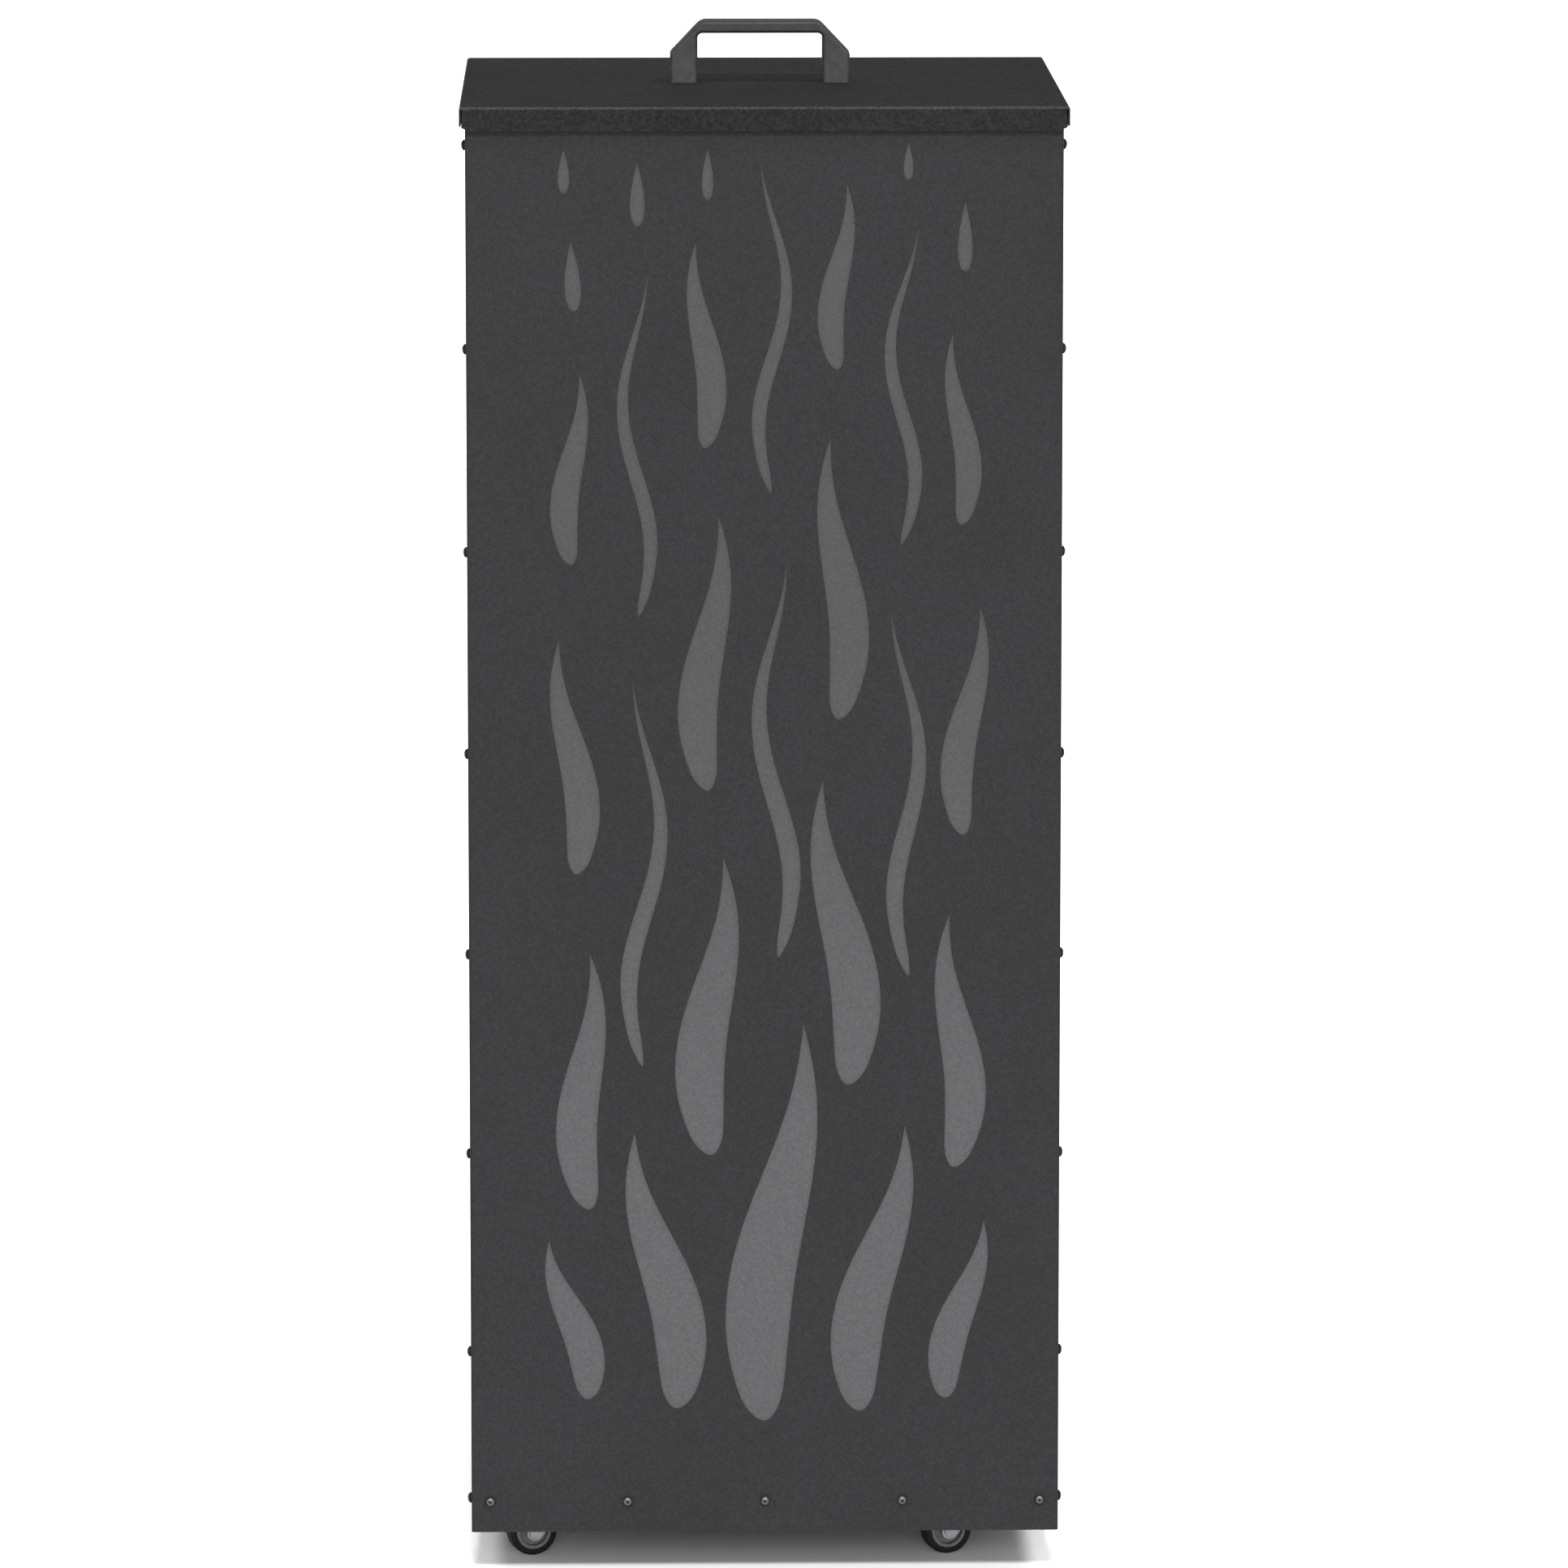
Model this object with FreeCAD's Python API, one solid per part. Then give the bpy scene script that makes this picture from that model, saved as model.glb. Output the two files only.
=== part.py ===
import FreeCAD, Part

import math
import os

# Pellet storage bin: a square bin of folded steel sheet on four swivel casters, with a slip-on lid.
# Millimetres and degrees. The origin is on the floor under the middle of the bin,
# +Z is up, the front faces -Y and +X is to the right of someone facing the front.

# Sheet body
BODY_WIDTH = 360.0
BODY_DEPTH = 360.0
PANEL_HEIGHT = 875.0
PANEL_SHEET = 1.2
BACKING_SHEET = 1.0
BEND_RADIUS = 0.8           # inside radius of every fold
SIDE_RETURN = 20.0          # folds of the end panels that lap over the side panels
TOP_RETURN = 12.0           # rim that the lid rests on
CORNER_SLIT = 0.6           # relief between two folds that meet at a corner

# Floor tray
TRAY_SHEET = 1.5
TRAY_FLANGE = 22.0
TRAY_RECESS = 13.0          # from the panels' lower edge up to the tray's underside

# Self-tapping screws of the body
SCREW_RADIUS = 1.75
SCREW_LENGTH = 6.5
SCREW_HEAD_RADIUS = 3.2
SCREW_HEAD_HEIGHT = 2.5
SCREW_CLEARANCE = 0.05
HEAD_RIM_SHARE = 0.4        # upright rim of every pan head, as a share of its height
SCREW_INSET = 11.5          # from an upright edge of the body
FLOOR_SCREW_COUNT = 5
FLOOR_SCREW_RISE = 6.2      # above the tray's underside
SIDE_SCREW_COUNT = 7
SIDE_SCREW_FOOT = 111.0     # lowest screw of a column above the panels' lower edge
SIDE_SCREW_DROP = 9.2       # highest screw of a column below the lid's front skirt

# Field of the cut-out picture on the front panel
DECOR_SIDE_MARGIN = 39.0
DECOR_FOOT_MARGIN = 65.0
DECOR_TOP_MARGIN = 20.0
DECOR_COLUMNS = 14
DECOR_ROWS = 40
STROKE_STEPS = 10           # spline points along each side of a stroke
STROKE_FULLEST_SHARE = 0.32  # place along a stroke where it is widest
STROKE_FOOT_POWER = 0.5     # how fast the outline swells at the rounded foot
FLAME_WAVE_COUNT = 0.9
RIBBON_WAVE_COUNT = 1.25

# Strokes on the grid: foot column and row, tip column and row, width and sway in columns
FLAMES = [
    (7.00, 0.2, 7.90, 12.8, 2.0, 0.45),
    (4.30, 0.6, 3.30, 9.4, 1.6, -0.40),
    (9.90, 0.5, 11.00, 9.6, 1.6, 0.40),
    (1.60, 0.9, 0.60, 6.0, 1.1, -0.25),
    (12.50, 0.9, 13.50, 6.6, 1.1, 0.25),
    (5.40, 8.6, 5.50, 18.0, 1.5, 0.40),
    (9.50, 10.8, 9.00, 20.4, 1.5, -0.40),
    (1.70, 6.9, 1.50, 15.0, 1.25, 0.35),
    (12.70, 8.2, 12.80, 16.2, 1.25, -0.35),
    (1.30, 17.4, 1.00, 24.8, 1.05, -0.30),
    (5.30, 20.0, 5.40, 28.6, 1.2, 0.35),
    (9.20, 22.2, 9.20, 31.0, 1.2, -0.35),
    (13.00, 18.6, 13.30, 25.8, 1.0, 0.30),
    (1.20, 27.0, 1.30, 33.0, 0.85, 0.25),
    (5.20, 30.6, 5.10, 37.0, 0.9, -0.25),
    (9.20, 33.0, 9.30, 38.8, 0.8, 0.25),
    (12.90, 28.2, 12.80, 34.2, 0.8, -0.25),
]
RIBBONS = [
    (3.30, 11.4, 3.50, 23.6, 0.55, 0.45),
    (7.40, 14.8, 7.20, 27.2, 0.6, -0.45),
    (11.35, 14.2, 11.20, 25.8, 0.55, 0.40),
    (3.20, 25.4, 3.10, 36.2, 0.45, -0.40),
    (7.20, 29.2, 7.30, 39.6, 0.45, 0.40),
    (11.10, 27.6, 11.20, 37.6, 0.45, -0.40),
]
SPARKS = [
    (1.30, 34.8, 1.20, 37.0, 0.5, 0.0),
    (3.20, 37.4, 3.20, 39.4, 0.45, 0.0),
    (13.00, 36.0, 13.00, 38.2, 0.45, 0.0),
    (1.00, 38.4, 1.00, 39.8, 0.35, 0.0),
    (5.30, 38.2, 5.30, 39.8, 0.35, 0.0),
    (11.30, 38.8, 11.30, 40.0, 0.3, 0.0),
]

# Lid
LID_SHEET = 1.2
LID_CLEARANCE = 2.3         # between the body and the inside of the skirt
LID_SKIRT = 15.0            # front and back
LID_SIDE_SKIRT = 12.0
LID_CORNER_RUN = 6.0        # slanted ends of the front and back skirts
LID_SLIT_TOP = 0.8          # wedge-shaped slits between the skirts, under the bend
LID_SLIT_FOOT = 0.1

# Bridge handle on the lid
HANDLE_PITCH = 94.0
HANDLE_LEG = 17.0
HANDLE_HEIGHT = 38.0
HANDLE_GRIP = 7.6
HANDLE_DEPTH = 24.0
HANDLE_TOP = 73.0           # flat length of the grip
HANDLE_SLANT = 20.0         # height of the slanted shoulders, from the grip's top down
HANDLE_TOP_ROUND = 8.5
HANDLE_SHOULDER_ROUND = 3.0
HANDLE_WINDOW_ROUND = 3.0
HANDLE_EDGE_ROUND = 2.0
INSERT_RADIUS = 3.5
INSERT_LENGTH = 10.0
INSERT_END_ROOM = 3.0       # bore above the insert
HANDLE_SCREW_RADIUS = 2.45
HANDLE_SCREW_LENGTH = 11.0
HANDLE_SCREW_HEAD_RADIUS = 4.6
HANDLE_SCREW_HEAD_HEIGHT = 3.0
WASHER_RADIUS = 5.2
WASHER_SHEET = 1.0
THREAD_CLEARANCE = 0.05

# Swivel casters
CASTER_INSET = 51.5         # swivel axis from the body's sides
CASTER_SETBACK = 66.0       # swivel axis from its front or its back
CASTER_HEADING_ANGLE = 196.0  # way that the wheels trail, turned from +X about +Z
CASTER_TRAIL = 16.0
WHEEL_RADIUS = 15.0
TYRE_WIDTH = 13.0
TYRE_THICKNESS = 4.0
TYRE_SHOULDER = 2.5
HUB_PROUD = 0.7             # hub boss beyond the tyre on each side
HUB_RIM = 2.0
HUB_RIM_STEP = 0.6          # rim narrower than the tyre on each side
HUB_BOSS_RADIUS = 4.5
HUB_WEB = 5.0
AXLE_RADIUS = 2.0
AXLE_HEAD_RADIUS = 3.6
AXLE_HEAD_HEIGHT = 1.5
AXLE_CLEARANCE = 0.06
FORK_SHEET = 1.6
FORK_PLAY = 0.3             # between the hub and each fork leg
FORK_LEG_TOP = 9.0          # half width of a leg where it leaves the crown
FORK_EYE_RADIUS = 5.2
CROWN_CLEARANCE = 5.8       # between the tyre and the crown
CROWN_LIP = 2.0             # crown beyond the ball race
BALL_COUNT = 8
BALL_RADIUS = 1.5
BALL_PLAY = 0.1
RACE_RADIUS = 10.0
RACE_DEPTH = 0.7
PLATE_SHEET = 2.0
PLATE_PITCH = 32.0
PLATE_MARGIN = 5.0
PLATE_CORNER = 4.0
KING_PIN_RADIUS = 3.0
KING_PIN_NECK = 2.5         # radius where it is riveted into the plate
KING_PIN_HEAD_RADIUS = 5.5
KING_PIN_HEAD = 1.6
KING_PIN_PLAY = 0.1
BOLT_RADIUS = 2.0
BOLT_LENGTH = 10.0
BOLT_HEAD_RADIUS = 3.8
BOLT_HEAD_HEIGHT = 2.4
BOLT_CLEARANCE = 0.2
NUT_FLATS = 7.0
NUT_HEIGHT = 3.2

# Heights above the floor
CROWN_UNDERSIDE = 2 * WHEEL_RADIUS + CROWN_CLEARANCE
CROWN_TOP = CROWN_UNDERSIDE + FORK_SHEET
RACE_GAP = 2 * (BALL_RADIUS - RACE_DEPTH)
RACE_HEIGHT = CROWN_TOP + RACE_GAP / 2
PLATE_UNDERSIDE = CROWN_TOP + RACE_GAP
TRAY_UNDERSIDE = PLATE_UNDERSIDE + PLATE_SHEET
TRAY_TOP = TRAY_UNDERSIDE + TRAY_SHEET
PANEL_FOOT = TRAY_UNDERSIDE - TRAY_RECESS
RIM = PANEL_FOOT + PANEL_HEIGHT
LID_TOP = RIM + LID_SHEET
SKIRT_FOOT = LID_TOP - LID_SKIRT

# Faces of the body
SIDE_FACE = BODY_WIDTH / 2
LAPPED_FACE = SIDE_FACE - PANEL_SHEET  # outside of the side panels, under the returns
FRONT_FACE = -BODY_DEPTH / 2
BACK_FACE = BODY_DEPTH / 2
PANEL_FOLD = PANEL_SHEET + BEND_RADIUS

OVERCUT = 2.0               # how far a cutting solid runs past what it cuts
TOUCH = 1e-6

V = FreeCAD.Vector
ORIGIN = V(0, 0, 0)
LEFT = V(-1, 0, 0)
RIGHT = V(1, 0, 0)
FRONT = V(0, -1, 0)
BACK = V(0, 1, 0)
DOWN = V(0, 0, -1)
UP = V(0, 0, 1)


def block(low, high):
    """Box between two corners, given in any order."""
    least = V(min(low.x, high.x), min(low.y, high.y), min(low.z, high.z))
    size = V(abs(high.x - low.x), abs(high.y - low.y), abs(high.z - low.z))
    return Part.makeBox(size.x, size.y, size.z, least)


def polygon(points):
    """Face of a closed polygon, where a step between equal sizes leaves no edge."""
    corners = [p for i, p in enumerate(points) if p.distanceToPoint(points[i - 1]) > TOUCH]
    return Part.Face(Part.makePolygon(corners + corners[:1]))


def prism(points, along):
    """Straight solid on a polygon."""
    return polygon(points).extrude(along)


def turned(points, axis):
    """Solid of revolution of a polygon that lies beside an axis through the origin."""
    return polygon(points).revolve(ORIGIN, axis, 360)


def spread(first, last, count):
    """Evenly spaced places from first to last."""
    return [first + (last - first) * i / (count - 1) for i in range(count)]


def drilled(solid, seats, radius, length):
    """Solid with a round hole behind each seat, a place with the way in."""
    reach = length + 2 * OVERCUT
    drills = [Part.makeCylinder(radius, reach, place - way * OVERCUT, way) for place, way in seats]
    return solid.cut(Part.makeCompound(drills))


def fold_block(low, high, base, walls, radius):
    """Box rounded where its base side meets each wall side."""
    solid = block(low, high)

    def on_side(point, way):
        corner = high if way.x + way.y + way.z > 0 else low
        return abs((point - corner).dot(way)) < TOUCH

    folds = []
    for edge in solid.Edges:
        middle = edge.CenterOfMass
        if on_side(middle, base) and any(on_side(middle, wall) for wall in walls):
            folds.append(edge)
    return solid.makeFillet(radius, folds)


def folded_pan(low, high, sheet, base, walls):
    """Folded sheet that lies just inside a box, on its base side and on its wall sides."""
    inner_low = V(low)
    inner_high = V(high)
    for way in (LEFT, RIGHT, FRONT, BACK, DOWN, UP):
        closed = way == base or way in walls
        step = way * (-sheet if closed else OVERCUT)
        if way.x + way.y + way.z > 0:
            inner_high += step
        else:
            inner_low += step
    outside = fold_block(low, high, base, walls, sheet + BEND_RADIUS)
    inside = fold_block(inner_low, inner_high, base, walls, BEND_RADIUS)
    return outside.cut(inside)


def corner_slits(low, high, sheet, foot, top):
    """Cuts that part the front and back walls of a pan from its side walls."""
    slits = []
    for side in (low.x + sheet, high.x - sheet):
        inward = CORNER_SLIT if side < 0 else -CORNER_SLIT
        for outer, inner in ((low.y - OVERCUT, low.y + sheet), (high.y + OVERCUT, high.y - sheet)):
            slits.append(block(V(side, outer, foot), V(side + inward, inner, top)))
    return Part.makeCompound(slits)


def pan_head_screw(radius, length, head_radius, head_height):
    """Screw with its domed head on z = 0 and its shank pointing down."""
    rim_height = HEAD_RIM_SHARE * head_height
    dome_height = head_height - rim_height
    dome_radius = (head_radius ** 2 + dome_height ** 2) / (2 * dome_height)
    halfway = math.asin(head_radius / dome_radius) / 2
    dome_centre = head_height - dome_radius
    rim = V(head_radius, 0, rim_height)
    shoulder = V(dome_radius * math.sin(halfway), 0, dome_centre + dome_radius * math.cos(halfway))
    top = V(0, 0, head_height)
    corners = [top, V(0, 0, -length), V(radius, 0, -length), V(radius, 0, 0), V(head_radius, 0, 0), rim]
    dome = Part.Arc(rim, shoulder, top).toShape()
    outline = Part.Wire(Part.makePolygon(corners).Edges + [dome])
    return Part.Face(outline).revolve(ORIGIN, UP, 360)


def placed(solid, place, way):
    """Copy of a solid whose own +Z points along a way."""
    copy = solid.copy()
    copy.Placement = FreeCAD.Placement(place, FreeCAD.Rotation(UP, way))
    return copy


def screws(seats, pattern):
    """One screw in each seat."""
    return Part.makeCompound([placed(pattern, place, way * -1) for place, way in seats])


# Screw seats


FLOOR_SCREW_HEIGHT = TRAY_UNDERSIDE + FLOOR_SCREW_RISE
COLUMN_HEIGHTS = spread(PANEL_FOOT + SIDE_SCREW_FOOT, SKIRT_FOOT - SIDE_SCREW_DROP, SIDE_SCREW_COUNT)


def floor_seats(face_y, way):
    """Seats of the row along the lower edge of the front or the back."""
    places = spread(SCREW_INSET - SIDE_FACE, SIDE_FACE - SCREW_INSET, FLOOR_SCREW_COUNT)
    return [(V(x, face_y, FLOOR_SCREW_HEIGHT), way) for x in places]


def side_seats(way):
    """Seats of one side: a column on each return and a row along the lower edge."""
    row = spread(FRONT_FACE + SCREW_INSET, BACK_FACE - SCREW_INSET, FLOOR_SCREW_COUNT)
    on_return = -SIDE_FACE * way.x
    on_panel = -LAPPED_FACE * way.x
    heights = COLUMN_HEIGHTS + [FLOOR_SCREW_HEIGHT]
    seats = [(V(on_return, y, z), way) for y in (row[0], row[-1]) for z in heights]
    return seats + [(V(on_panel, y, FLOOR_SCREW_HEIGHT), way) for y in row[1:-1]]


FRONT_SEATS = floor_seats(FRONT_FACE, BACK)
BACK_SEATS = floor_seats(BACK_FACE, FRONT)
LEFT_SEATS = side_seats(RIGHT)
RIGHT_SEATS = side_seats(LEFT)
ALL_SEATS = FRONT_SEATS + BACK_SEATS + LEFT_SEATS + RIGHT_SEATS


def screw_holes(solid):
    """Sheet with the holes of every body screw that reaches it."""
    return drilled(solid, ALL_SEATS, SCREW_RADIUS + SCREW_CLEARANCE, SCREW_LENGTH)


# Cut-out picture


def grid_point(column, row):
    """Place on the front face of a point of the picture's grid."""
    width = BODY_WIDTH - 2 * DECOR_SIDE_MARGIN
    height = PANEL_HEIGHT - DECOR_FOOT_MARGIN - DECOR_TOP_MARGIN
    x = (column / DECOR_COLUMNS - 0.5) * width
    z = PANEL_FOOT + DECOR_FOOT_MARGIN + row / DECOR_ROWS * height
    return V(x, FRONT_FACE, z)


def stroke(foot, tip, width, sway, waves):
    """Face of a swaying stroke that is round at its foot and runs to a point at its tip."""
    length = (tip - foot).Length
    along = (tip - foot) / length
    across = V(-along.z, 0, along.x)
    taper = STROKE_FOOT_POWER * (1 - STROKE_FULLEST_SHARE) / STROKE_FULLEST_SHARE

    def edge_point(share, side):
        phase = 2 * math.pi * waves * share
        slope = sway * 2 * math.pi * waves * math.cos(phase) / length
        swell = (share / STROKE_FULLEST_SHARE) ** STROKE_FOOT_POWER
        swell *= ((1 - share) / (1 - STROKE_FULLEST_SHARE)) ** taper
        reach = side * width / 2 * swell / math.hypot(1, slope)
        middle = foot + along * (share * length) + across * (sway * math.sin(phase))
        return middle + across * reach - along * (reach * slope)

    shares = [0.5 - 0.5 * math.cos(math.pi * i / STROKE_STEPS) for i in range(STROKE_STEPS + 1)]
    points = [edge_point(share, 1) for share in reversed(shares)]
    points += [edge_point(share, -1) for share in shares[1:]]
    outline = Part.BSplineCurve()
    outline.interpolate(points)
    return Part.Face(Part.Wire([outline.toShape()]))


def picture_cuts():
    """Solids that cut the picture out of the front panel."""
    column = (BODY_WIDTH - 2 * DECOR_SIDE_MARGIN) / DECOR_COLUMNS
    cuts = []
    groups = [(FLAMES, FLAME_WAVE_COUNT), (RIBBONS, RIBBON_WAVE_COUNT), (SPARKS, FLAME_WAVE_COUNT)]
    for rows, waves in groups:
        for foot_column, foot_row, tip_column, tip_row, width, sway in rows:
            foot = grid_point(foot_column, foot_row)
            tip = grid_point(tip_column, tip_row)
            face = stroke(foot, tip, width * column, sway * column, waves)
            face.translate(FRONT * OVERCUT)
            cuts.append(face.extrude(BACK * (PANEL_SHEET + 2 * OVERCUT)))
    return Part.makeCompound(cuts)


# Sheet pieces


def end_panel():
    """Front panel without its picture: a face, two side returns and a top return."""
    return_end = FRONT_FACE + SIDE_RETURN
    low = V(-SIDE_FACE, FRONT_FACE, PANEL_FOOT)
    high = V(SIDE_FACE, return_end, RIM)
    panel = folded_pan(low, high, PANEL_SHEET, FRONT, [LEFT, RIGHT, UP])
    rim_low = RIM - PANEL_FOLD
    rim_high = RIM + OVERCUT
    cuts = [
        block(
            V(-SIDE_FACE - OVERCUT, FRONT_FACE + TOP_RETURN, rim_low),
            V(SIDE_FACE + OVERCUT, return_end + OVERCUT, rim_high),
        )
    ]
    for side in (-1, 1):
        slit_low = V(side * (LAPPED_FACE - CORNER_SLIT), FRONT_FACE + PANEL_FOLD, rim_low)
        cuts.append(block(slit_low, V(side * LAPPED_FACE, return_end + OVERCUT, rim_high)))
    return panel.cut(Part.makeCompound(cuts))


def front_panel():
    return screw_holes(end_panel().cut(picture_cuts()))


def back_panel():
    panel = end_panel()
    panel.rotate(ORIGIN, UP, 180)
    return screw_holes(panel)


def decor_backing():
    """Flat sheet behind the picture, held at its foot between the front panel and the tray."""
    half = LAPPED_FACE - PANEL_FOLD
    near = FRONT_FACE + PANEL_SHEET
    sheet = block(V(-half, near, TRAY_UNDERSIDE), V(half, near + BACKING_SHEET, RIM - PANEL_FOLD))
    return screw_holes(sheet)


def side_panel(side):
    """Flat side under the end panels' returns, with a top return that stops short of theirs."""
    low = V(SIDE_FACE - TOP_RETURN, FRONT_FACE + PANEL_FOLD, PANEL_FOOT)
    high = V(LAPPED_FACE, BACK_FACE - PANEL_FOLD, RIM)
    panel = folded_pan(low, high, PANEL_SHEET, RIGHT, [UP])
    notch = BACK_FACE - TOP_RETURN - CORNER_SLIT
    for end in (-1, 1):
        corner = V(low.x - OVERCUT, end * notch, RIM - PANEL_FOLD)
        panel = panel.cut(block(corner, V(high.x + OVERCUT, end * (BACK_FACE + OVERCUT), RIM + OVERCUT)))
    if side < 0:
        panel.rotate(ORIGIN, UP, 180)
    return screw_holes(panel)


def floor_tray():
    """Pan that carries the pellets, with flanges turned up against all four panels."""
    half = LAPPED_FACE - PANEL_SHEET
    low = V(-half, FRONT_FACE + PANEL_SHEET + BACKING_SHEET, TRAY_UNDERSIDE)
    high = V(half, BACK_FACE - PANEL_SHEET, TRAY_UNDERSIDE + TRAY_FLANGE)
    tray = folded_pan(low, high, TRAY_SHEET, DOWN, [LEFT, RIGHT, FRONT, BACK])
    slit_foot = TRAY_TOP + BEND_RADIUS
    tray = tray.cut(corner_slits(low, high, TRAY_SHEET, slit_foot, high.z + OVERCUT))
    tray = drilled(tray, BOLT_SEATS, BOLT_RADIUS + BOLT_CLEARANCE, BOLT_LENGTH)
    return screw_holes(tray)


# Lid


HANDLE_FEET = [V(side * HANDLE_PITCH / 2, 0, LID_TOP) for side in (-1, 1)]


def lid_shell():
    """Slip-on lid: a top, deep front and back skirts with slanted ends, and shallower side skirts."""
    half_x = SIDE_FACE + LID_CLEARANCE + LID_SHEET
    half_y = BACK_FACE + LID_CLEARANCE + LID_SHEET
    side_foot = LID_TOP - LID_SIDE_SKIRT
    low = V(-half_x, -half_y, min(SKIRT_FOOT, side_foot))
    high = V(half_x, half_y, LID_TOP)
    lid = folded_pan(low, high, LID_SHEET, UP, [LEFT, RIGHT, FRONT, BACK])
    slit_top = RIM - BEND_RADIUS
    slit_side = half_x - LID_SHEET
    slant_end = half_x - LID_CORNER_RUN
    below = low.z - OVERCUT
    slant = [(half_x, below), (half_x, side_foot), (slant_end, SKIRT_FOOT), (slant_end, below)]
    slit = [
        (slit_side, low.z),
        (slit_side, slit_top),
        (slit_side - LID_SLIT_TOP, slit_top),
        (slit_side - LID_SLIT_FOOT, low.z),
    ]
    if side_foot < SKIRT_FOOT:
        end_trim = V(slant_end, half_y + OVERCUT, SKIRT_FOOT)
        lid = lid.cut(block(V(-slant_end, -half_y - OVERCUT, below), end_trim))
    for x in (-1, 1):
        side_inside = V(x * slit_side, -half_y - OVERCUT, below)
        side_outside = V(x * (half_x + OVERCUT), half_y + OVERCUT, side_foot)
        lid = lid.cut(block(side_inside, side_outside))
        for y in (-1, 1):
            for outline in (slant, slit):
                points = [V(x * across, y * half_y, height) for across, height in outline]
                lid = lid.cut(prism(points, V(0, -y * LID_SHEET, 0)))
    hole_seats = [(foot, DOWN) for foot in HANDLE_FEET]
    return drilled(lid, hole_seats, HANDLE_SCREW_RADIUS + BOLT_CLEARANCE, LID_SHEET)


def lid_handle():
    """Bridge handle: two legs with slanted shoulders and a flat grip, rounded along its edges."""
    outer = HANDLE_PITCH / 2 + HANDLE_LEG / 2
    window = HANDLE_PITCH / 2 - HANDLE_LEG / 2
    window_top = HANDLE_HEIGHT - HANDLE_GRIP
    shoulder = HANDLE_HEIGHT - HANDLE_SLANT
    half_profile = [
        (window, 0),
        (outer, 0),
        (outer, shoulder),
        (HANDLE_TOP / 2, HANDLE_HEIGHT),
    ]
    corners = half_profile + [(-x, z) for x, z in reversed(half_profile)]
    corners += [(-window, window_top), (window, window_top)]
    near = -HANDLE_DEPTH / 2
    handle = prism([V(x, near, LID_TOP + z) for x, z in corners], BACK * HANDLE_DEPTH)

    def cross_edges(x, z):
        found = []
        for edge in handle.Edges:
            middle = edge.CenterOfMass - V(0, 0, LID_TOP)
            if abs(middle.y) < TOUCH and abs(abs(middle.x) - x) < TOUCH and abs(middle.z - z) < TOUCH:
                found.append(edge)
        return found

    handle = handle.makeFillet(HANDLE_TOP_ROUND, cross_edges(HANDLE_TOP / 2, HANDLE_HEIGHT))
    handle = handle.makeFillet(HANDLE_SHOULDER_ROUND, cross_edges(outer, shoulder))
    handle = handle.makeFillet(HANDLE_WINDOW_ROUND, cross_edges(window, window_top))
    rims = []
    for edge in handle.Edges:
        middle = edge.CenterOfMass
        if abs(abs(middle.y) - HANDLE_DEPTH / 2) < TOUCH and middle.z > LID_TOP + TOUCH:
            rims.append(edge)
    handle = handle.makeFillet(HANDLE_EDGE_ROUND, rims)
    bores = [(foot, UP) for foot in HANDLE_FEET]
    return drilled(handle, bores, INSERT_RADIUS, INSERT_LENGTH + INSERT_END_ROOM - OVERCUT)


def handle_inserts():
    """Threaded bushes moulded into the feet of the handle."""
    bore = HANDLE_SCREW_RADIUS + THREAD_CLEARANCE
    bushes = []
    for foot in HANDLE_FEET:
        bush = Part.makeCylinder(INSERT_RADIUS, INSERT_LENGTH, foot)
        bushes.append(drilled(bush, [(foot, UP)], bore, INSERT_LENGTH))
    return Part.makeCompound(bushes)


def handle_washers():
    bore = HANDLE_SCREW_RADIUS + THREAD_CLEARANCE
    rings = []
    for foot in HANDLE_FEET:
        seat = V(foot.x, foot.y, RIM - WASHER_SHEET)
        ring = Part.makeCylinder(WASHER_RADIUS, WASHER_SHEET, seat)
        rings.append(drilled(ring, [(seat, UP)], bore, WASHER_SHEET))
    return Part.makeCompound(rings)


def handle_screws():
    seats = [(V(foot.x, foot.y, RIM - WASHER_SHEET), UP) for foot in HANDLE_FEET]
    pattern = pan_head_screw(
        HANDLE_SCREW_RADIUS, HANDLE_SCREW_LENGTH, HANDLE_SCREW_HEAD_RADIUS, HANDLE_SCREW_HEAD_HEIGHT
    )
    return screws(seats, pattern)


# Casters


def caster_pivots():
    """Swivel axes on the floor, by the corner of the bin."""
    x = SIDE_FACE - CASTER_INSET
    y = BACK_FACE - CASTER_SETBACK
    return {
        "front_left": V(-x, -y, 0),
        "front_right": V(x, -y, 0),
        "rear_left": V(-x, y, 0),
        "rear_right": V(x, y, 0),
    }


def plate_corners(centre, height):
    """Bolt places of a caster plate."""
    half = PLATE_PITCH / 2
    return [centre + V(x, y, height) for x in (-half, half) for y in (-half, half)]


BOLT_SEATS = [(p, DOWN) for pivot in caster_pivots().values() for p in plate_corners(pivot, TRAY_TOP)]


def caster_bolts():
    return screws(BOLT_SEATS, pan_head_screw(BOLT_RADIUS, BOLT_LENGTH, BOLT_HEAD_RADIUS, BOLT_HEAD_HEIGHT))


def caster_nuts():
    """Hexagon nuts under the caster plates."""
    reach = NUT_FLATS / 2 / math.cos(math.pi / 6)
    angles = [math.pi / 3 * i for i in range(6)]
    hexagon = prism([V(reach * math.cos(a), reach * math.sin(a), 0) for a in angles], UP * NUT_HEIGHT)
    nut = drilled(hexagon, [(ORIGIN, UP)], BOLT_RADIUS + THREAD_CLEARANCE, NUT_HEIGHT)
    seats = [V(place.x, place.y, PLATE_UNDERSIDE - NUT_HEIGHT) for place, way in BOLT_SEATS]
    return Part.makeCompound([placed(nut, seat, UP) for seat in seats])


def ball_race():
    """Ring-shaped groove that the bearing balls run in."""
    return Part.makeTorus(RACE_RADIUS, BALL_RADIUS + BALL_PLAY, V(0, 0, RACE_HEIGHT))


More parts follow.
